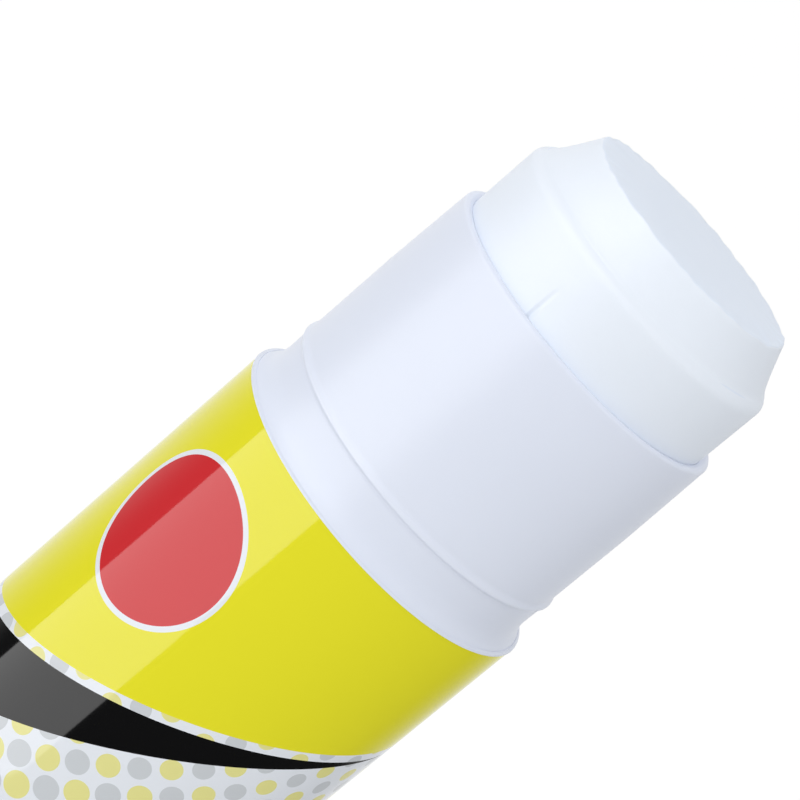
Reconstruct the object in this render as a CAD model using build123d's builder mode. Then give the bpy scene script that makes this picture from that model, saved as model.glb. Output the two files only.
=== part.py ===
from build123d import *
from math import cos, floor, pi, radians, sin
import os

# Twist-up glue stick of the 40 g size, open and wound out a little, standing on its knob.
# Lengths are millimetres. Z is the axis of the stick, and the origin is the middle of the
# knob's underside. Turning the knob winds the glue: the spindle turns with the knob, and
# guide ribs in the inner tube stop the carrier from turning with it, so the carrier climbs.

# Heights of the barrel, from the table up
knob_height = 15.0
barrel_gap = 0.4  # running gap between the knob and the sleeve
bare_sleeve = 1.6  # stretch of sleeve below the label
label_height = 69.0
collar_lap = 1.4  # the label laps this far over the collar
neck_height = 21.55  # the mouth above the label's edge

# Radii and walls of the barrel
bore_radius = 13.05
tube_wall = 0.87
neck_taper = 0.18  # the mouth's radius is this much less than the neck's
sleeve_fit = 0.03
sleeve_wall = 0.93
sleeve_foot_chamfer = 0.3
label_glue_line = 0.02
label_thickness = 0.1
label_seam = 0.25  # slit where the two ends of the film meet, at the back

# Rim of the collar, the bead that the cap snaps over, and the mouth
rim_proud = 0.05
rim_land = 0.35
rim_shoulder_height = 0.35
rim_shoulder_inset = 0.2
rim_slope_height = 1.15
bead_rise = 4.5  # crest of the bead above the label's edge
bead_width = 2.4
bead_height = 0.25
cap_land_height = 7.0  # parallel stretch above the bead, before the neck's taper
mouth_round = 0.6

# Floor of the inner tube, and the skirt under it that the knob turns on
floor_thickness = 1.4
skirt_step = 0.52  # the skirt's radius is this much less than the neck's
skirt_wall = 1.0
running_fit = 0.1
end_gap = 0.3

# Guide ribs in the bore
rib_count = 3
rib_azimuth = -106.0  # degrees from +X
rib_width = 0.6
rib_height = 0.4
rib_runout = 0.8
rib_below_mouth = 4.4
rib_fit = 0.12

# Knob
knob_wall = 1.0
knob_plate = 1.4
knob_recess = 0.6  # hollow of the underside, inside the foot ring
foot_ring_width = 1.7
knob_bevel = 0.9
hub_radius = 5.0
hub_rise = 0.7  # top of the hub above the knob's edge
grip_rib_count = 36
grip_rib_flat = 0.5  # from a rib's middle to its flats: half of a hexagon stands proud
grip_rib_sink = 0.08  # the ribs' middles inside the knob's surface
grip_margin = 1.7  # plain bands above and below the grip ribs
web_count = 6
web_thickness = 1.0
web_height = 8.0

# Spindle
foot_flats = 5.0  # across the flats of the six-sided foot
foot_fit = 0.04
foot_above_plate = 3.7  # the foot's end above the knob's plate
journal_radius = 3.1
flange_radius = 5.5
flange_thickness = 1.2
thrust_gap = 0.2
bar_depth = 3.2  # of the screw's bar, between the two sides that carry teeth
bar_width = 4.4  # across the two flat sides that part the thread
thread_tip = 3.7  # radius
thread_root = 2.0
thread_crest = 0.9
thread_lead = 5.0  # one turn of the knob moves the glue this far
thread_margin = 0.8  # plain stretch below and above the thread
spindle_below_mouth = 8.5
spindle_tip_chamfer = 0.6

# Carrier
nut_bore = 2.85
nut_clearance = 0.3  # round the teeth, in the nut's groove
nut_radius = 6.0
nut_height = 6.8
carrier_wall = 0.7
carrier_plate = 1.3
carrier_slack = 0.3  # carrier wall inside the bore
cup_height = 5.5
carrier_skirt_height = 5.0
lip_reach = 0.22
lip_height = 0.8
gusset_count = 6
gusset_thickness = 0.8
gusset_height = 3.6
floor_gap = 0.4  # between the carrier's hub and the spindle's flange, wound right down
nut_hold = 4.0  # thread still held by the nut, wound right up

# Glue
glue_slack = 0.17  # glue inside the bore
wound_out = 6.7  # how far the glue stands above its lowest place
shoulder_above_mouth = 5.3
shoulder_height = 1.1
shoulder_inset = 0.88
cone_height = 3.6
cone_inset = 2.0
tip_chamfer = 0.3
spindle_room = 0.35  # round the spindle, in the glue's bore
bore_end_room = 1.0

# Places that follow from these sizes
barrel_foot_z = knob_height + barrel_gap
label_foot_z = barrel_foot_z + bare_sleeve
label_top_z = label_foot_z + label_height
collar_foot_z = label_top_z - collar_lap
mouth_z = label_top_z + neck_height
rim_edge_z = label_top_z + rim_land
rim_slope_z = rim_edge_z + rim_shoulder_height
neck_foot_z = rim_slope_z + rim_slope_height
bead_z = label_top_z + bead_rise
land_top_z = bead_z + bead_width / 2 + cap_land_height
hub_top_z = knob_height + hub_rise
floor_z = hub_top_z + end_gap
floor_top_z = floor_z + floor_thickness
plate_top_z = knob_recess + knob_plate
skirt_foot_z = plate_top_z + end_gap
flange_z = floor_top_z + thrust_gap
flange_top_z = flange_z + flange_thickness
spindle_foot_z = plate_top_z + foot_above_plate
spindle_top_z = mouth_z - spindle_below_mouth
thread_foot_z = flange_top_z + thread_margin + thread_root / 2
thread_top_z = spindle_top_z - thread_margin - thread_root / 2
rib_top_z = mouth_z - rib_below_mouth
nut_foot_z = flange_top_z + floor_gap + wound_out
carrier_top_z = nut_foot_z + nut_height
carrier_plate_z = carrier_top_z - carrier_plate
cup_top_z = carrier_top_z + cup_height
carrier_skirt_z = carrier_plate_z - carrier_skirt_height
shoulder_z = mouth_z + shoulder_above_mouth
cone_foot_z = shoulder_z + shoulder_height
glue_tip_z = cone_foot_z + cone_height
glue_bore_top_z = spindle_top_z + wound_out + bore_end_room
groove_top_z = rib_top_z + wound_out + rib_fit

# Radii that follow from these sizes
neck_radius = bore_radius + tube_wall
mouth_radius = neck_radius - neck_taper
skirt_radius = neck_radius - skirt_step
sleeve_bore = neck_radius + sleeve_fit
sleeve_radius = sleeve_bore + sleeve_wall
label_bore = sleeve_radius + label_glue_line
label_radius = label_bore + label_thickness
rim_radius = label_radius + rim_proud
skirt_bore = skirt_radius - skirt_wall
knob_bore = skirt_radius + running_fit
knob_radius = knob_bore + knob_wall
rib_tip = bore_radius - rib_height
groove_floor = rib_tip - rib_fit
groove_width = rib_width + 2 * rib_fit
carrier_radius = bore_radius - carrier_slack
cup_bore = carrier_radius - carrier_wall
glue_radius = bore_radius - glue_slack
cone_foot_radius = glue_radius - shoulder_inset
face_radius = cone_foot_radius - cone_inset
glue_bore = thread_tip + spindle_room

rib_azimuths = [rib_azimuth + turn * 360 / rib_count for turn in range(rib_count)]


def eased_edge(x, y, inset, drop):
    """Three points on the quarter ellipse that eases an upper outer corner, from its foot up."""
    turns = [radians(angle) for angle in (0, 45, 90)]
    return [(x - inset * (1 - cos(turn)), y - drop * (1 - sin(turn))) for turn in turns]


def radial_plane(azimuth):
    """An upright plane through the axis: x points outwards at this azimuth, y points up."""
    outwards = Vector(1, 0, 0).rotate(Axis.Z, azimuth)
    sideways = Vector(0, -1, 0).rotate(Axis.Z, azimuth)
    return Plane(origin=(0, 0, 0), x_dir=outwards, z_dir=sideways)


def thread_trapezium(clearance):
    """The thread's outline, from inside the bar outwards, grown by a clearance on each side."""
    foot = bar_depth / 4
    half_root = thread_root / 2 + clearance
    half_crest = thread_crest / 2 + clearance
    crest = thread_tip + clearance
    Polyline(
        (foot, -half_root),
        (crest, -half_crest),
        (crest, half_crest),
        (foot, half_root),
        close=True,
    )


def tooth_plane(half_turn):
    """The plane across a tooth's middle: x points outwards, and its normal climbs with the lead."""
    azimuth = -180 * half_turn
    climb = thread_lead / (2 * pi * (nut_bore + thread_tip) / 2)
    return Plane(
        origin=(0, 0, thread_foot_z + half_turn * thread_lead / 2),
        x_dir=Vector(1, 0, 0).rotate(Axis.Z, azimuth),
        z_dir=Vector(0, -1, climb).rotate(Axis.Z, azimuth),
    )


# Inner tube: the glue's barrel, with its neck, bead, collar, floor and guide ribs
with BuildPart() as inner_tube:
    with BuildSketch(Plane.XZ):
        with BuildLine():
            Polyline(
                (journal_radius + running_fit, floor_z),
                (skirt_bore, floor_z),
                (skirt_bore, skirt_foot_z),
                (skirt_radius, skirt_foot_z),
                (skirt_radius, barrel_foot_z),
                (neck_radius, barrel_foot_z),
                (neck_radius, collar_foot_z),
                (sleeve_radius, collar_foot_z),
                (sleeve_radius, label_top_z),
                (rim_radius, label_top_z),
                (rim_radius, rim_edge_z),
                (rim_radius - rim_shoulder_inset, rim_slope_z),
                (neck_radius, neck_foot_z),
                (neck_radius, bead_z - bead_width / 2),
                (neck_radius + bead_height, bead_z),
                (neck_radius, bead_z + bead_width / 2),
                (neck_radius, land_top_z),
                *eased_edge(mouth_radius, mouth_z, mouth_round, mouth_round),
                (bore_radius, mouth_z),
                (bore_radius, floor_top_z),
                (journal_radius + running_fit, floor_top_z),
                close=True,
            )
        make_face()
    revolve(axis=Axis.Z)
    for azimuth in rib_azimuths:
        with BuildSketch(radial_plane(azimuth)):
            with BuildLine():
                Polyline(
                    (rib_tip, floor_top_z),
                    (bore_radius + rib_height, floor_top_z),
                    (bore_radius + rib_height, rib_top_z),
                    (bore_radius, rib_top_z),
                    (rib_tip, rib_top_z - rib_runout),
                    close=True,
                )
            make_face()
        extrude(amount=rib_width / 2, both=True)
inner_tube.part.label = "inner_tube"

# Outer sleeve: the plain tube under the label, seated against the collar
with BuildPart() as outer_sleeve:
    with BuildSketch(Plane.XZ):
        with BuildLine():
            Polyline(
                (sleeve_bore, barrel_foot_z),
                (sleeve_radius - sleeve_foot_chamfer, barrel_foot_z),
                (sleeve_radius, barrel_foot_z + sleeve_foot_chamfer),
                (sleeve_radius, collar_foot_z),
                (sleeve_bore, collar_foot_z),
                close=True,
            )
        make_face()
    revolve(axis=Axis.Z)
outer_sleeve.part.label = "outer_sleeve"

# Label: printed film wrapped round the sleeve and the collar, its ends meeting at the back
with BuildPart() as label:
    with BuildSketch(Plane.XY.offset(label_foot_z)):
        Circle(label_radius)
        Circle(label_bore, mode=Mode.SUBTRACT)
        with Locations((0, label_bore)):
            Rectangle(label_seam, sleeve_wall, mode=Mode.SUBTRACT)
    extrude(amount=label_height)
label.part.label = "label"

# Turning knob: a ribbed cup round the tube's skirt, with a webbed hub for the spindle
with BuildPart() as turning_knob:
    with BuildSketch():
        Circle(knob_radius)
    extrude(amount=knob_height)
    chamfer(turning_knob.faces().sort_by(Axis.Z)[0].edges(), knob_bevel)
    with BuildSketch(Plane.XY.offset(grip_margin)):
        with PolarLocations(knob_radius - grip_rib_sink, grip_rib_count):
            RegularPolygon(grip_rib_flat, 6, major_radius=False, rotation=30)
    extrude(amount=knob_height - 2 * grip_margin)
    with BuildSketch(Plane.XY.offset(plate_top_z)):
        Circle(knob_bore)
    extrude(amount=knob_height, mode=Mode.SUBTRACT)
    with BuildSketch():
        Circle(knob_radius - knob_bevel - foot_ring_width)
    extrude(amount=knob_recess, mode=Mode.SUBTRACT)
    with BuildSketch(Plane.XY.offset(knob_recess)):
        Circle(hub_radius)
    extrude(amount=hub_top_z - knob_recess)
    web_end = skirt_bore - end_gap
    with BuildSketch(Plane.XY.offset(knob_recess)):
        with PolarLocations(web_end / 2, web_count):
            Rectangle(web_end, web_thickness)
    extrude(amount=knob_plate + web_height)
    with BuildSketch(Plane.XY.offset(spindle_foot_z)):
        RegularPolygon(foot_flats / 2 + foot_fit, 6, major_radius=False)
    extrude(amount=hub_top_z - spindle_foot_z, mode=Mode.SUBTRACT)
turning_knob.part.label = "turning_knob"

# Spindle: the left-hand lead screw, a bar with a tooth every half turn on its two toothed
# sides and none on its flat sides, with a thrust flange above the tube's floor, a journal in
# the floor, and a six-sided foot in the knob's hub
half_turns = floor((thread_top_z - thread_foot_z) / (thread_lead / 2))
with BuildPart() as spindle:
    with BuildSketch(Plane.XY.offset(flange_top_z)):
        Rectangle(bar_depth, bar_width)
    extrude(amount=spindle_top_z - flange_top_z)
    chamfer(spindle.faces().sort_by(Axis.Z)[-1].edges(), spindle_tip_chamfer)
    with BuildSketch(*[tooth_plane(half_turn) for half_turn in range(half_turns + 1)]):
        with BuildLine():
            thread_trapezium(0)
        make_face()
    extrude(amount=bar_width, both=True)
    with BuildSketch(Plane.XY.offset(flange_top_z)):
        Circle(thread_tip)
        Rectangle(2 * thread_tip, bar_width, mode=Mode.INTERSECT)
    extrude(amount=spindle_top_z - flange_top_z, mode=Mode.INTERSECT)
    with BuildSketch(Plane.XY.offset(flange_z)):
        Circle(flange_radius)
    extrude(amount=flange_thickness)
    with BuildSketch(Plane.XY.offset(hub_top_z)):
        Circle(journal_radius)
    extrude(amount=flange_z - hub_top_z)
    with BuildSketch(Plane.XY.offset(spindle_foot_z)):
        RegularPolygon(foot_flats / 2, 6, major_radius=False)
    extrude(amount=hub_top_z - spindle_foot_z)
spindle.part.label = "spindle"

# Carrier: the cup that holds the glue, with its nut, seal lips and notches for the ribs
with BuildPart() as carrier:
    with BuildSketch(Plane.XZ):
        with BuildLine():
            Polyline(
                (0, nut_foot_z),
                (nut_radius, nut_foot_z),
                (nut_radius, carrier_plate_z),
                (cup_bore, carrier_plate_z),
                (cup_bore, carrier_skirt_z),
                (carrier_radius, carrier_skirt_z),
                (carrier_radius, cup_top_z - lip_height),
                (carrier_radius + lip_reach, cup_top_z),
                (cup_bore, cup_top_z),
                (cup_bore, carrier_top_z),
                (0, carrier_top_z),
                close=True,
            )
        make_face()
    revolve(axis=Axis.Z)
    with BuildSketch(Plane.XY.offset(carrier_plate_z - gusset_height)):
        with PolarLocations((nut_radius + cup_bore) / 2, gusset_count):
            Rectangle(cup_bore - nut_radius + carrier_wall, gusset_thickness)
    extrude(amount=gusset_height)
    with BuildSketch(Plane.XY.offset(carrier_skirt_z)):
        with PolarLocations(groove_floor + bore_radius / 2, rib_count, start_angle=rib_azimuth):
            Rectangle(bore_radius, groove_width)
    extrude(amount=cup_top_z - carrier_skirt_z, mode=Mode.SUBTRACT)
    # The nut's helix starts whole turns below the screw's own start, so the two threads match
    turns_down = floor((nut_foot_z - thread_foot_z) / thread_lead) - 1
    nut_line_z = thread_foot_z + turns_down * thread_lead
    with BuildLine():
        nut_line = Helix(
            thread_lead,
            carrier_top_z + thread_lead - nut_line_z,
            nut_bore,
            center=(0, 0, nut_line_z),
            lefthand=True,
        )
    start = Plane(origin=(0, 0, nut_line_z), x_dir=(1, 0, 0), z_dir=nut_line % 0)
    with BuildSketch(start):
        with BuildLine():
            thread_trapezium(nut_clearance)
        make_face()
    sweep(path=nut_line, is_frenet=True, mode=Mode.SUBTRACT)
    with BuildSketch(Plane.XY.offset(nut_foot_z)):
        Circle(nut_bore)
    extrude(amount=nut_height, mode=Mode.SUBTRACT)
carrier.part.label = "carrier"

# Glue: cast in the tube, on the carrier, round the spindle and against the inside of the
# cap, which left the stepped shoulder, the cone and the flat end
with BuildPart() as glue:
    with BuildSketch(Plane.XZ):
        with BuildLine():
            Polyline(
                (0, glue_bore_top_z),
                (glue_bore, glue_bore_top_z),
                (glue_bore, carrier_top_z),
                (cup_bore, carrier_top_z),
                (cup_bore, cup_top_z),
                (glue_radius, cup_top_z),
                *eased_edge(glue_radius, cone_foot_z, shoulder_inset, shoulder_height),
                (face_radius + tip_chamfer / 2, glue_tip_z - tip_chamfer),
                (face_radius - tip_chamfer / 2, glue_tip_z),
                (0, glue_tip_z),
                close=True,
            )
        make_face()
    revolve(axis=Axis.Z)
    for azimuth in rib_azimuths:
        with BuildSketch(radial_plane(azimuth)):
            with BuildLine():
                Polyline(
                    (groove_floor, cup_top_z),
                    (bore_radius, cup_top_z),
                    (bore_radius, groove_top_z),
                    (groove_floor, groove_top_z - rib_runout),
                    close=True,
                )
            make_face()
        extrude(amount=groove_width / 2, both=True, mode=Mode.SUBTRACT)
glue.part.label = "glue"

os.makedirs("parts", exist_ok=True)
export_step(inner_tube.part, "parts/inner_tube.step")
export_step(outer_sleeve.part, "parts/outer_sleeve.step")
export_step(label.part, "parts/label.step")
export_step(turning_knob.part, "parts/turning_knob.step")
export_step(spindle.part, "parts/spindle.step")
export_step(carrier.part, "parts/carrier.step")
export_step(glue.part, "parts/glue.step")

# What the joints and mounts of the part are set from
travel_up = thread_top_z - nut_hold - nut_foot_z
print("glue travels", -wound_out, "to", round(travel_up, 3), "mm")
print("knob turns", -360 * wound_out / thread_lead, "to", round(360 * travel_up / thread_lead, 3), "degrees")
print("label edge", label_top_z, "mouth", mouth_z, "tip", glue_tip_z, "carrier", carrier_top_z)
print("cap land", bead_z + bead_width / 2, "to", land_top_z, "radius", neck_radius)
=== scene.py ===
# Looks for the twist-up glue stick: fine turned pieces for what shows, their materials, the
# printed label, and the studio with the photograph's camera. Lengths are metres; a height is
# above the knob's underside, and an azimuth is in degrees from +X, anticlockwise from above.
import math

import bpy
from mathutils import Matrix, Vector


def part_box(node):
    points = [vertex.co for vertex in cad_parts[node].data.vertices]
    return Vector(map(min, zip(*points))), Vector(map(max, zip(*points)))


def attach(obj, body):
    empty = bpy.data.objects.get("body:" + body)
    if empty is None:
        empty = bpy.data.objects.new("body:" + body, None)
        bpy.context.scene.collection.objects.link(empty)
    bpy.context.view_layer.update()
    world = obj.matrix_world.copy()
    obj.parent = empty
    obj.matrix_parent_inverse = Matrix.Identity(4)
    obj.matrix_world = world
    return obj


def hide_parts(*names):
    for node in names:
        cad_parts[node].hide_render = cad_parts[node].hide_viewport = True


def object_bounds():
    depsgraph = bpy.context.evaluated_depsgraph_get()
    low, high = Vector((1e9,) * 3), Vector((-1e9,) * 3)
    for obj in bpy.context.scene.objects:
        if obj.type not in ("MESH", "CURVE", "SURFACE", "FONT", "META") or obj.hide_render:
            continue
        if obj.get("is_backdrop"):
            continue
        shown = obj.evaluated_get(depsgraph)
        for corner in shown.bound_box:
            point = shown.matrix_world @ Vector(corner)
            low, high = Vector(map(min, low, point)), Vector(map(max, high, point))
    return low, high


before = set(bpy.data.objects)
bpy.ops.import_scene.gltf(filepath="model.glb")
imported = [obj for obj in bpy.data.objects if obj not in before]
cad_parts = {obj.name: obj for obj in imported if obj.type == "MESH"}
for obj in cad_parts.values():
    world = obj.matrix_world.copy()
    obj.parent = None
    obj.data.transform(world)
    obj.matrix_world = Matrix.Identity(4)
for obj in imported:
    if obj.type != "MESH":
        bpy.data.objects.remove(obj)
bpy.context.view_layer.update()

mm = 0.001
same = 1e-7  # two radii closer than this are one

# Sizes that the frame has; a box is its lowest and its highest corner
label_low, label_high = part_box("label")
tube_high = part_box("inner_tube")[1]
glue_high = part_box("glue")[1]
barrel_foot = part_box("outer_sleeve")[0].z
cup_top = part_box("carrier")[1].z
spindle_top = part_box("spindle")[1].z
hub_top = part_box("turning_knob")[1].z

label_top = label_high.z
label_foot = label_low.z
label_radius = label_high.x
mouth = tube_high.z
rim_radius = tube_high.x
glue_tip = glue_high.z
glue_radius = glue_high.x

# Label film, with a slit at the back
film = 0.1 * mm
half_seam = 0.125 * mm
film_steps = 360

# Inner tube. A curve is the four points of a Bezier, out and up from its base in millimetres.
bore_radius = 13.05 * mm
neck_radius = 13.92 * mm
mouth_radius = 13.74 * mm
collar_lap = 1.4 * mm
lap_depth = 0.12 * mm
rim_curve = [(0, 0.02), (0, 0.1), (-0.12, 0.13), (-0.25, 0.19)]
ledge = label_top + 0.32 * mm
ledge_radius = 14.62 * mm
ledge_notch = [(0.14, -0.09), (0.09, -0.12)]
ledge_curve = [(0, 0), (-0.42, 0.34), (-0.64, 1.03), (-0.7, 1.78)]
bead_crest = label_top + 4.55 * mm
bead_lower_curve = [(0, -1.65), (0.02, -0.75), (0, -0.24), (0.21, -0.11)]
bead_crown = [(0.24, -0.03), (0.24, 0.03)]
bead_upper_curve = [(0.21, 0.13), (0.11, 0.32), (0.02, 0.42), (0, 0.7)]
land_top = label_top + 12.7 * mm
lip_top = mouth - 0.6 * mm
lip_round = (0.5 * mm, 0.28 * mm)
lip_bore = glue_radius + 0.01 * mm
lip_bore_top = lip_top - 0.12 * mm
lip_bore_low = lip_top - 0.5 * mm
lip_bore_foot = lip_top - 0.9 * mm
floor_low = 16.0 * mm
floor_high = 17.4 * mm
skirt_radius = 13.4 * mm
skirt_bore = 12.4 * mm
skirt_foot = 2.3 * mm
journal_bore = 3.2 * mm
tube_sides = 240
rib_azimuths = [-106, 14, 134]
rib_half = 0.3 * mm
rib_flank = 0.02 * mm
rib_height = 0.4 * mm
rib_top = mouth - 4.4 * mm
rib_runout = 0.8 * mm

# Glue; a curve is written as it is for the tube
shoulder = mouth + 5.05 * mm
shoulder_curve = [(0, 0), (0, 0.45), (-0.28, 0.7), (-0.61, 1.0)]
notch = mouth + 6.05 * mm
notch_radius = 12.27 * mm
notch_curve = [(-0.07, 0.06), (-0.27, 0.24), (-0.42, 0.5), (-0.72, 1.0)]
cone_low = mouth + 7.05 * mm
cone_radius = 11.55 * mm
cone_end_radius = 10.13 * mm
cone_shares = (0.25, 0.5, 0.75, 0.9)
face_edge = glue_tip - 0.27 * mm
face_shares = (0.9, 0.75, 0.5, 0.2, 0)
face_power = 4  # the face falls towards its edge by this power of the radius
tip_round = 0.35 * mm
round_stop = 86  # degrees, where the rounded edge runs into the domed face
groove_depth = 0.15 * mm
groove_half = 0.34 * mm
groove_top = rib_top + 6.82 * mm
groove_runout = 2.6 * mm
groove_steps = 6
groove_places = [0.0, 0.06, 0.12, 0.18, 0.24, 0.3, 0.36, 0.5]  # millimetres from a groove's middle
glue_sides = 360
glue_bore = 4.05 * mm
glue_bore_top = spindle_top + 7.7 * mm
cup_bore = 12.05 * mm
cup_floor = 32.7 * mm

# The glue's end is slightly uneven. Waves are (depth, number round the stick, phase), bumps of
# its edge are (height, azimuth, width in degrees), and a fade is the power by which the
# unevenness dies away from the edge.
swell_waves = [(0.03 * mm, 3, 0.7), (0.02 * mm, 7, 2.1)]
swell_fade = 6
coarse_tear = 0.05 * mm
fine_tear = 0.04 * mm
edge_bumps = [(-0.07 * mm, 118, 22), (0.15 * mm, 176, 14), (0.15 * mm, 8, 16)]
fade_down = 3
fade_inward = 12

# Knob
knob_height = 15.0 * mm
knob_radius = 14.5 * mm
knob_bore = 13.5 * mm
knob_plate_low = 0.6 * mm
knob_plate_high = 2.0 * mm
knob_bevel = 0.9 * mm
knob_edge_round = 0.3 * mm
foot_ring_outer = 13.6 * mm
foot_ring_inner = 11.9 * mm
foot_ring_bevel = 0.1 * mm
hub_radius = 5.0 * mm
socket_radius = 2.93 * mm
socket_foot = 5.7 * mm
grip_ribs = 36
grip_margin = 1.7 * mm
grip_runout = 0.7 * mm
grip_steps = 4
grip_height = 0.42 * mm
grip_half = 0.5 * mm
grip_shares = (-1, -0.92, -0.7, -0.35, 0, 0.35, 0.7, 0.92, 1)


# Turned pieces
def arc(centre, size, start, stop, steps=6):
    """Points along an elliptical arc; angles in degrees, from the outward radius upwards."""
    turns = [math.radians(start + (stop - start) * step / steps) for step in range(steps + 1)]
    return [(centre[0] + size[0] * math.cos(t), centre[1] + size[1] * math.sin(t)) for t in turns]


def beside(base, offsets):
    """Points that lie this far out and up from a base; the offsets are in millimetres."""
    return [(base[0] + out * mm, base[1] + up * mm) for out, up in offsets]


def curve(base, offsets, steps):
    """Points along a cubic Bezier curve, its four points given by their offsets from a base."""
    corners = beside(base, offsets)
    points = []
    for step in range(steps + 1):
        t = step / steps
        weights = ((1 - t) ** 3, 3 * t * (1 - t) ** 2, 3 * t * t * (1 - t), t ** 3)
        points.append(tuple(sum(w * corner[i] for w, corner in zip(weights, corners)) for i in (0, 1)))
    return points


def ring_azimuths(count, extra=()):
    """Even azimuths round the axis, and more of them where a groove or a rib needs them."""
    even = {round(360 * step / count, 4) for step in range(count)}
    return sorted(even | {round(azimuth % 360, 4) for azimuth in extra})


def new_piece(name, vertices, faces, sharp):
    """A mesh object, smooth but for edges sharper than an angle in degrees."""
    mesh = bpy.data.meshes.new(name)
    mesh.from_pydata(vertices, [], faces)
    mesh.validate()
    mesh.shade_smooth()
    mesh.set_sharp_from_angle(angle=math.radians(sharp))
    piece = bpy.data.objects.new(name, mesh)
    bpy.context.scene.collection.objects.link(piece)
    return piece


def turned(name, profile, azimuths, radius_at, sharp=35, height_at=None):
    """A closed turned mesh from a loop of (radius, height) points, those on the axis shared."""
    vertices = []
    rings = []
    for radius, height in profile:
        if radius < same:
            rings.append([len(vertices)] * len(azimuths))
            vertices.append((0, 0, height))
            continue
        ring = []
        for azimuth in azimuths:
            turn = math.radians(azimuth)
            r = radius_at(radius, height, azimuth)
            z = height_at(radius, height, azimuth) if height_at else height
            ring.append(len(vertices))
            vertices.append((r * math.cos(turn), r * math.sin(turn), z))
        rings.append(ring)
    faces = []
    on_axis = profile[0][0] < same and profile[-1][0] < same
    pairs = list(zip(rings, rings[1:])) + ([] if on_axis else [(rings[-1], rings[0])])
    for low, high in pairs:
        for i in range(len(azimuths)):
            j = (i + 1) % len(azimuths)
            corners = []
            for corner in (low[i], low[j], high[j], high[i]):
                if corner not in corners:
                    corners.append(corner)
            if len(corners) > 2:
                faces.append(corners)
    return new_piece(name, vertices, faces, sharp)


def angle_between(azimuth, other):
    """How far apart two azimuths are, in degrees, without a sign."""
    return abs((azimuth - other + 180) % 360 - 180)


def rib_distance(azimuth, radius):
    """The distance round the axis from the nearest guide rib's middle."""
    return math.radians(min(angle_between(azimuth, rib) for rib in rib_azimuths)) * radius


def beside_ribs(offsets, radius):
    """Azimuths at these distances on each side of every guide rib."""
    angles = [math.degrees(offset / radius) for offset in offsets]
    return [rib + side * angle for rib in rib_azimuths for side in (-1, 1) for angle in angles]


def clamp(share):
    """A share held between 0 and 1."""
    return min(max(share, 0.0), 1.0)


# Inner tube
def tube_radius(radius, height, azimuth):
    """The inner tube's bore with its guide ribs; the rest of the tube stays round."""
    if abs(radius - bore_radius) > same or not floor_high <= height <= rib_top:
        return radius
    if rib_distance(azimuth, radius) > rib_half + same:
        return radius
    return radius - rib_height * clamp((rib_top - height) / rib_runout)


rim_base = (rim_radius, label_top)
ledge_base = (ledge_radius, ledge)
bead_base = (neck_radius, bead_crest)
tube_profile = [
    (journal_bore, floor_low),
    (skirt_bore, floor_low),
    (skirt_bore, skirt_foot),
    (skirt_radius, skirt_foot),
    (skirt_radius, barrel_foot),
    (neck_radius, barrel_foot),
    (neck_radius, label_top - collar_lap),
    (label_radius - lap_depth, label_top - collar_lap),
    (label_radius - lap_depth, label_top),
    rim_base,
    *curve(rim_base, rim_curve, 4),
    *beside(ledge_base, ledge_notch),
    *curve(ledge_base, ledge_curve, 10),
    *curve(bead_base, bead_lower_curve, 12),
    *beside(bead_base, bead_crown),
    *curve(bead_base, bead_upper_curve, 8),
    (neck_radius, land_top),
    *arc((mouth_radius - lip_round[0], lip_top - lip_round[1]), lip_round, 0, 90, 8),
    (lip_bore, lip_bore_top),
    (lip_bore, lip_bore_low),
    (bore_radius, lip_bore_foot),
    (bore_radius, rib_top),
    (bore_radius, rib_top - rib_runout),
    (bore_radius, floor_high),
    (journal_bore, floor_high),
]
rib_edges = beside_ribs([rib_half, rib_half + rib_flank], bore_radius)
tube = turned("tube_shell", tube_profile, ring_azimuths(tube_sides, rib_edges), tube_radius)
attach(tube, "barrel")
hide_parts("inner_tube")


# Glue
def glue_outline(radius, height, azimuth):
    """The glue's side with the grooves that the guide ribs leave, run out at the top."""
    if radius < cup_bore or not cup_top <= height <= groove_top:
        return radius
    across = clamp(1 - rib_distance(azimuth, radius) / groove_half)
    along = clamp((groove_top - height) / groove_runout)
    return radius - groove_depth * math.sin(math.pi / 2 * across) ** 2 * math.sqrt(along)


def at_end(radius, height):
    """The share of the tear that a point takes: 1 at the face's edge, less below and inward."""
    up = clamp((height - cone_low) / (face_edge - cone_low))
    out = clamp(radius / cone_end_radius)
    return up ** fade_down * out ** fade_inward


def glue_radius_at(radius, height, azimuth):
    """The grooves, and the slightly uneven cone."""
    radius = glue_outline(radius, height, azimuth)
    if height <= notch:
        return radius
    turn = math.radians(azimuth)
    swell = sum(depth * math.sin(count * turn + phase) for depth, count, phase in swell_waves)
    return radius + swell * clamp(radius / cone_end_radius) ** swell_fade


def glue_height_at(radius, height, azimuth):
    """The face's edge is slightly torn, lower at the back left and higher at the sides.

    The tears are waves that go a whole number of times round the stick.
    """
    turn = math.radians(azimuth)
    shift = coarse_tear * math.sin(11 * turn + 0.4) * math.sin(4 * turn)
    shift += fine_tear * math.sin(29 * turn + 2 * math.sin(5 * turn))
    for bump, middle, width in edge_bumps:
        shift += bump * math.exp(-(angle_between(azimuth, middle) / width) ** 2)
    return height + shift * at_end(radius, height)


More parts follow.
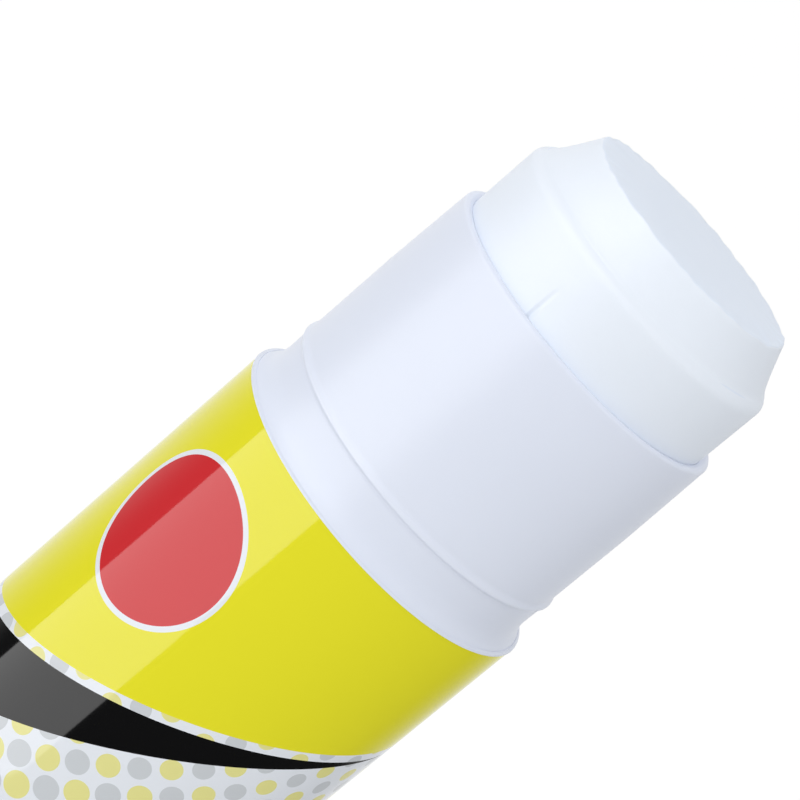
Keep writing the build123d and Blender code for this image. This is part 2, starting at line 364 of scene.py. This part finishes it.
cone_lean = math.degrees(math.atan2(cone_radius - cone_end_radius, face_edge - cone_low))
round_inset = tip_round * math.tan(math.radians(45 - cone_lean / 2))
round_centre = (cone_end_radius - round_inset, face_edge - tip_round)
end_round = arc(round_centre, (tip_round, tip_round), cone_lean, round_stop, 5)
cone_end = end_round[0]
glue_profile = [
    (0, glue_bore_top),
    (glue_bore, glue_bore_top),
    (glue_bore, cup_floor),
    (cup_bore, cup_floor),
    (cup_bore, cup_top),
    (glue_radius, cup_top),
    *[(glue_radius, groove_top - groove_runout * (1 - step / groove_steps))
      for step in range(groove_steps + 1)],
    *curve((glue_radius, shoulder), shoulder_curve, 8),
    *curve((notch_radius, notch), notch_curve, 7),
    *[(cone_radius + (cone_end[0] - cone_radius) * share,
       cone_low + (cone_end[1] - cone_low) * share) for share in cone_shares],
    *end_round,
    *[(cone_end_radius * share, glue_tip + (face_edge - glue_tip) * share ** face_power)
      for share in face_shares],
]
groove_edges = beside_ribs([place * mm for place in groove_places], glue_radius)
glue = turned("glue_column", glue_profile, ring_azimuths(glue_sides, groove_edges), glue_radius_at,
              sharp=40, height_at=glue_height_at)
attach(glue, "glue_carrier")
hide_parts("glue")


# Knob
def knob_outline(radius, height, azimuth):
    """The knob's side with its rounded grip ribs, run out above and below."""
    if radius < knob_radius - same or not grip_margin <= height <= knob_height - grip_margin:
        return radius
    pitch = 360 / grip_ribs
    away = abs((azimuth + pitch / 2) % pitch - pitch / 2)
    across = clamp(math.radians(away) * radius / grip_half)
    ends = min(height - grip_margin, knob_height - grip_margin - height)
    along = math.sin(math.pi / 2 * clamp(ends / grip_runout))
    return radius + grip_height * math.sqrt(1 - across * across) * along


run = [grip_margin + grip_runout * step / grip_steps for step in range(grip_steps + 1)]
knob_profile = [
    (0, knob_plate_low),
    (foot_ring_inner, knob_plate_low),
    (foot_ring_inner, foot_ring_bevel),
    (foot_ring_inner + foot_ring_bevel, 0),
    *arc((foot_ring_outer, knob_bevel), (knob_bevel, knob_bevel), -90, 0),
    *[(knob_radius, height) for height in run],
    *[(knob_radius, knob_height - height) for height in reversed(run)],
    *arc((knob_radius - knob_edge_round, knob_height - knob_edge_round),
         (knob_edge_round, knob_edge_round), 0, 90, 4),
    (knob_bore, knob_height),
    (knob_bore, knob_plate_high),
    (hub_radius, knob_plate_high),
    (hub_radius, hub_top),
    (socket_radius, hub_top),
    (socket_radius, socket_foot),
    (0, socket_foot),
]
rib_offsets = [math.degrees(grip_half * share / knob_radius) for share in grip_shares]
knob_azimuths = [360 * rib / grip_ribs + offset for rib in range(grip_ribs) for offset in rib_offsets]
knob = turned("knob_shell", knob_profile, ring_azimuths(grip_ribs, knob_azimuths), knob_outline, sharp=40)
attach(knob, "knob")
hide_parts("turning_knob")

# The film starts and ends at the back, where its ends almost meet
seam_angle = math.degrees(half_seam / label_radius)
film_section = [(label_radius, label_foot), (label_radius, label_top),
                (label_radius - film, label_top), (label_radius - film, label_foot)]
film_vertices = []
for step in range(film_steps + 1):
    turn = math.radians(90 + seam_angle + (360 - 2 * seam_angle) * step / film_steps)
    film_vertices += [
        (radius * math.cos(turn), radius * math.sin(turn), height) for radius, height in film_section]
film_faces = [(0, 1, 2, 3), tuple(4 * film_steps + corner for corner in (3, 2, 1, 0))]
for step in range(film_steps):
    for side in range(4):
        low = 4 * step + side
        high = 4 * step + (side + 1) % 4
        film_faces.append((low, low + 4, high + 4, high))
label = new_piece("label_film", film_vertices, film_faces, sharp=30)
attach(label, "barrel")
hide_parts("label")


# Materials
def new_material(name, **settings):
    """A material with its Principled shader set; returns the material, its tree and shader."""
    material = bpy.data.materials.new(name)
    material.use_nodes = True
    shader = material.node_tree.nodes["Principled BSDF"]
    for socket, value in settings.items():
        shader.inputs[socket.replace("_", " ")].default_value = value
    return material, material.node_tree, shader


def plug(tree, socket, value):
    """A socket takes another node's output, or a plain value."""
    if isinstance(value, bpy.types.NodeSocket):
        tree.links.new(value, socket)
    else:
        socket.default_value = value


def sum_of(tree, operation, *terms):
    """A Math node's output; its terms are outputs or numbers."""
    node = tree.nodes.new("ShaderNodeMath")
    node.operation = operation
    for socket, term in zip(node.inputs, terms):
        plug(tree, socket, term)
    return node.outputs[0]


def blend_of(tree, share, low, high):
    """The colour low, or high where the share is 1."""
    node = tree.nodes.new("ShaderNodeMix")
    node.data_type = "RGBA"
    plug(tree, node.inputs["Factor"], share)
    plug(tree, node.inputs[6], low)
    plug(tree, node.inputs[7], high)
    return node.outputs[2]


def axes_of(tree, vector):
    """A node whose outputs are a vector's X, Y and Z."""
    node = tree.nodes.new("ShaderNodeSeparateXYZ")
    tree.links.new(vector, node.inputs[0])
    return node


def coordinate_of(tree, kind):
    """One of the Texture Coordinate node's outputs."""
    return tree.nodes.new("ShaderNodeTexCoord").outputs[kind]


def noise_of(tree, scale, detail):
    """A noise texture's value, in object space; its scale is per metre."""
    node = tree.nodes.new("ShaderNodeTexNoise")
    node.inputs["Scale"].default_value = scale
    node.inputs["Detail"].default_value = detail
    tree.links.new(coordinate_of(tree, "Object"), node.inputs["Vector"])
    return node.outputs[0]


def vary_roughness(tree, shader, noise, middle, spread):
    """The shader's roughness goes with the noise, by half the spread on each side of a middle."""
    rough = sum_of(tree, "MULTIPLY_ADD", noise, spread, middle - spread / 2)
    tree.links.new(rough, shader.inputs["Roughness"])


def bump_of(tree, shader, height, distance, below=None):
    """Bumps the shader by a height, over another bump where there is one; distance is in metres."""
    node = tree.nodes.new("ShaderNodeBump")
    node.inputs["Distance"].default_value = distance
    node.inputs["Strength"].default_value = 1.0
    tree.links.new(height, node.inputs["Height"])
    if below is not None:
        tree.links.new(below, node.inputs["Normal"])
    tree.links.new(node.outputs[0], shader.inputs["Normal"])
    return node.outputs[0]


def moulded_plastic(name, colour, shade, roughness):
    """White moulded plastic: a faint flow in its colour and gloss, and a slight waviness."""
    material, tree, shader = new_material(
        name, IOR=1.49, Specular_IOR_Level=0.22,
        Subsurface_Weight=0.15, Subsurface_Radius=(1.0, 1.0, 1.0), Subsurface_Scale=0.6 * mm)
    flow = blend_of(tree, noise_of(tree, scale=90.0, detail=3.0), colour, shade)
    tree.links.new(flow, shader.inputs["Base Color"])
    vary_roughness(tree, shader, noise_of(tree, scale=260.0, detail=4.0), roughness, spread=0.06)
    bump_of(tree, shader, noise_of(tree, scale=110.0, detail=1.0), distance=0.03 * mm)
    return material


neck_white = moulded_plastic("neck_white", (0.775, 0.82, 0.93, 1), (0.755, 0.80, 0.915, 1), 0.32)
body_white = moulded_plastic("body_white", (0.765, 0.805, 0.91, 1), (0.745, 0.785, 0.89, 1), 0.34)
inner_white = moulded_plastic("inner_white", (0.71, 0.74, 0.82, 1), (0.68, 0.71, 0.79, 1), 0.4)

tube.data.materials.append(neck_white)
knob.data.materials.append(body_white)
for node, finish in (("outer_sleeve", body_white), ("spindle", inner_white), ("carrier", inner_white)):
    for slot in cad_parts[node].material_slots:
        slot.material = finish

# Glue: waxy and slightly translucent; its end, where the surface faces up, is painted a little darker, a
# painted shade
glue_colour = (0.845, 0.90, 1.0, 1)
glue_shade = (0.83, 0.885, 0.99, 1)
# painted shade: a darker colour for the glue's upward-facing end, standing in for the light it gets
glue_end_painted_shade = (0.785, 0.855, 0.985, 1)
end_facing = 0.8  # the end is where the surface faces up more than this

glue_skin, tree, shader = new_material(
    "glue_skin", IOR=1.42, Specular_IOR_Level=0.3,
    Subsurface_Weight=0.25, Subsurface_Radius=(1.0, 1.0, 1.0), Subsurface_Scale=0.4 * mm)
side_colour = blend_of(tree, noise_of(tree, scale=150.0, detail=3.0), glue_colour, glue_shade)
facing = axes_of(tree, coordinate_of(tree, "Normal"))
on_end = sum_of(tree, "GREATER_THAN", facing.outputs["Z"], end_facing)
# the surface facing up takes the painted shade in place of the side's colour
tree.links.new(blend_of(tree, on_end, side_colour, glue_end_painted_shade), shader.inputs["Base Color"])
vary_roughness(tree, shader, noise_of(tree, scale=400.0, detail=4.0), middle=0.48, spread=0.2)
swell = bump_of(tree, shader, noise_of(tree, scale=210.0, detail=2.0), distance=0.08 * mm)
bump_of(tree, shader, noise_of(tree, scale=2400.0, detail=4.0), distance=0.012 * mm, below=swell)
glue.data.materials.append(glue_skin)

# Label: a generic print. The film's arc length from the front and its depth below the top
# edge, both in millimetres, place every shape of the print.
yellow = (0.80, 0.755, 0.026, 1)
red = (0.62, 0.03, 0.036, 1)
black = (0.0045, 0.0045, 0.0048, 1)
paper = (0.79, 0.825, 0.88, 1)
pale_yellow = (0.78, 0.75, 0.30, 1)
pale_grey = (0.60, 0.63, 0.66, 1)
disc_centre = (-9.0, -11.0)
disc_radius = 6.7
disc_outline = 0.45
wave_middle = -20.0
wave_height = 8.0
swoosh_gap = 0.9
swoosh_middle = 4.2
dot_pitch = 3.4
dot_start_share = 0.14
dot_growth = 1.15
dot_growth_length = 60
foot_band = -62.0

print_film, tree, shader = new_material("label_print", IOR=1.46, Specular_IOR_Level=0.35, Roughness=0.06)
position = axes_of(tree, coordinate_of(tree, "Object"))
front = sum_of(tree, "MULTIPLY", position.outputs["Y"], -1.0)
turn = sum_of(tree, "ARCTAN2", position.outputs["X"], front)
along = sum_of(tree, "MULTIPLY", turn, label_radius / mm)
down = sum_of(tree, "MULTIPLY_ADD", position.outputs["Z"], 1 / mm, -label_top / mm)

swing = sum_of(tree, "SINE", turn)
edge = sum_of(tree, "MULTIPLY_ADD", swing, wave_height, wave_middle)
below_edge = sum_of(tree, "SUBTRACT", edge, down)
in_yellow = sum_of(tree, "LESS_THAN", below_edge, 0.0)
swoosh_width = sum_of(tree, "MULTIPLY_ADD", swing, -swoosh_middle, swoosh_middle)
swoosh_end = sum_of(tree, "ADD", swoosh_width, swoosh_gap)
past_gap = sum_of(tree, "GREATER_THAN", below_edge, swoosh_gap)
before_end = sum_of(tree, "LESS_THAN", below_edge, swoosh_end)
in_swoosh = sum_of(tree, "MULTIPLY", past_gap, before_end)
in_foot_band = sum_of(tree, "LESS_THAN", down, foot_band)


def distance_of(across, upward):
    """The distance that two outputs span at right angles."""
    squares = [sum_of(tree, "POWER", side, 2.0) for side in (across, upward)]
    return sum_of(tree, "SQRT", sum_of(tree, "ADD", *squares))


def dots(shift):
    """A grid of dots that grow towards the foot of the label, moved by a share of its pitch."""
    sides = []
    for value in (along, down):
        cell = sum_of(tree, "MULTIPLY_ADD", value, 1 / dot_pitch, shift)
        sides.append(sum_of(tree, "SUBTRACT", sum_of(tree, "FRACT", cell), 0.5))
    growth = -dot_growth / dot_pitch / dot_growth_length
    size = sum_of(tree, "MULTIPLY_ADD", down, growth, dot_start_share)
    return sum_of(tree, "LESS_THAN", distance_of(*sides), size)


from_disc = distance_of(*[
    sum_of(tree, "SUBTRACT", value, middle) for value, middle in zip((along, down), disc_centre)])
ink = paper
for share, colour in (
        (dots(0.0), pale_yellow),
        (dots(0.5), pale_grey),
        (in_swoosh, black),
        (in_yellow, yellow),
        (in_foot_band, yellow),
        (sum_of(tree, "LESS_THAN", from_disc, disc_radius + disc_outline), paper),
        (sum_of(tree, "LESS_THAN", from_disc, disc_radius), red)):
    ink = blend_of(tree, share, ink, colour)
tree.links.new(ink, shader.inputs["Base Color"])
bump_of(tree, shader, noise_of(tree, scale=140.0, detail=1.0), distance=0.012 * mm)
label.data.materials.append(print_film)

# Camera, solved from the photograph; its turns are in radians
camera_place = Vector((0, -212.944 * mm, 155.5365 * mm))
camera_pan = 0.0247
camera_tilt = 0.2901
camera_roll = -0.8623
camera_lens = 130.19

camera = bpy.data.objects.new("camera", bpy.data.cameras.new("camera"))
bpy.context.scene.collection.objects.link(camera)
bpy.context.scene.camera = camera
camera.data.lens = camera_lens
camera.data.clip_start = 0.01
aim = Matrix.Rotation(camera_pan, 3, "Z") @ Matrix.Rotation(-camera_tilt, 3, "X")
roll = Matrix.Rotation(camera_roll, 3, aim @ Vector((0, 1, 0)))
upright = Matrix.Rotation(math.radians(90), 3, "X")
camera.matrix_world = Matrix.Translation(camera_place) @ (roll @ aim @ upright).to_4x4()

# Surroundings
dark_until = 0.2
white_from = 1.05
less_on_right = 0.25
dark_room = 0.06
fill = 0.81


def backdrop_seen(tree, direction, plain):
    """What the surroundings send to a ray that arrives along this direction.

    The camera and glass see white. A mirrored ray sees white behind the stick, a little less of
    it on the right, and the dark room round the camera. Any other ray gets the plain strength.
    Returns the strength, the Light Path node, and 1 for the rays that see white.
    """
    rays = tree.nodes.new("ShaderNodeLightPath")
    heading = axes_of(tree, direction)
    back = sum_of(tree, "MULTIPLY_ADD", heading.outputs["X"], -less_on_right, heading.outputs["Y"])
    behind = tree.nodes.new("ShaderNodeMapRange")
    behind.interpolation_type = "SMOOTHSTEP"
    behind.inputs["From Min"].default_value = dark_until
    behind.inputs["From Max"].default_value = white_from
    behind.inputs["To Min"].default_value = dark_room
    tree.links.new(back, behind.inputs["Value"])
    mirrored = sum_of(tree, "MULTIPLY", behind.outputs["Result"], rays.outputs["Is Glossy Ray"])
    unmirrored = sum_of(tree, "SUBTRACT", 1.0, rays.outputs["Is Glossy Ray"])
    white = sum_of(tree, "MAXIMUM", rays.outputs["Is Camera Ray"], rays.outputs["Is Transmission Ray"])
    level = sum_of(tree, "MULTIPLY_ADD", white, 1 - plain, plain)
    return sum_of(tree, "MULTIPLY_ADD", level, unmirrored, mirrored), rays, white


world = bpy.data.worlds.new("studio")
bpy.context.scene.world = world
world.use_nodes = True
tree = world.node_tree
background = tree.nodes["Background"]
background.inputs["Color"].default_value = (1, 1, 1, 1)
strength = backdrop_seen(tree, coordinate_of(tree, "Generated"), fill)[0]
tree.links.new(strength, background.inputs["Strength"])

# Floor: a mix of white paint, which takes the shadow, and a glow that brings it up to white
floor_size = 3.0
floor_white = 0.8
floor_lit = 0.62  # how bright the lamps and the fill are taken to make the paint behind the stick
floor_seen = 0.8
floor_glow = (1 - (1 - floor_seen) * floor_lit) / floor_seen

floor_corners = [(x * floor_size, y * floor_size, 0) for x, y in ((-1, -1), (1, -1), (1, 1), (-1, 1))]
floor = new_piece("floor", floor_corners, [(0, 1, 2, 3)], sharp=30)
floor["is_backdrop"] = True
floor_paint, tree, shader = new_material(
    "floor_paint", Base_Color=(floor_white, floor_white, floor_white, 1), Roughness=0.9)
from_stick = tree.nodes.new("ShaderNodeVectorMath")
from_stick.operation = "NORMALIZE"
tree.links.new(tree.nodes.new("ShaderNodeNewGeometry").outputs["Position"], from_stick.inputs[0])
strength, rays, white = backdrop_seen(tree, from_stick.outputs[0], 1.0)
glow = tree.nodes.new("ShaderNodeEmission")
to_white = sum_of(tree, "MULTIPLY_ADD", white, floor_glow - 1, 1.0)
tree.links.new(sum_of(tree, "MULTIPLY", strength, to_white), glow.inputs["Strength"])
mixer = tree.nodes.new("ShaderNodeMixShader")
plain_seen = sum_of(tree, "MULTIPLY", white, floor_seen)
tree.links.new(sum_of(tree, "MAXIMUM", plain_seen, rays.outputs["Is Glossy Ray"]), mixer.inputs[0])
tree.links.new(shader.outputs[0], mixer.inputs[1])
tree.links.new(glow.outputs[0], mixer.inputs[2])
tree.links.new(mixer.outputs[0], tree.nodes["Material Output"].inputs["Surface"])
floor.data.materials.append(floor_paint)

# Lamps: a softbox that shows as a crisp band on the film, and the key that lights the stick.
# A radiance of 1 renders as white.
band_place = (-77.9 * mm, -69.2 * mm, 150 * mm)
band_aim = (0, 0, 150 * mm)
band_size = (131 * mm, 300 * mm)
band_radiance = 3.4
key_place = (-0.352, -0.662, 0.42)
key_aim = (0, 0, 80 * mm)
key_size = (0.5, 0.6)
key_radiance = 1.85


def area_light(name, place, aim_at, size, radiance, glossy=True, diffuse=True):
    """An oblong lamp that faces a point, and that the camera doesn't see."""
    lamp = bpy.data.lights.new(name, "AREA")
    lamp.shape = "RECTANGLE"
    lamp.size, lamp.size_y = size
    lamp.energy = radiance * math.pi * size[0] * size[1]
    light = bpy.data.objects.new(name, lamp)
    bpy.context.scene.collection.objects.link(light)
    light.location = place
    light.rotation_euler = (Vector(aim_at) - Vector(place)).to_track_quat("-Z", "Y").to_euler()
    light.visible_camera = False
    light.visible_glossy = glossy
    light.visible_diffuse = diffuse


area_light("softbox_band", band_place, band_aim, band_size, band_radiance, diffuse=False)
area_light("key", key_place, key_aim, key_size, key_radiance, glossy=False)

low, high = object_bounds()

bpy.context.scene.view_settings.view_transform = "Standard"
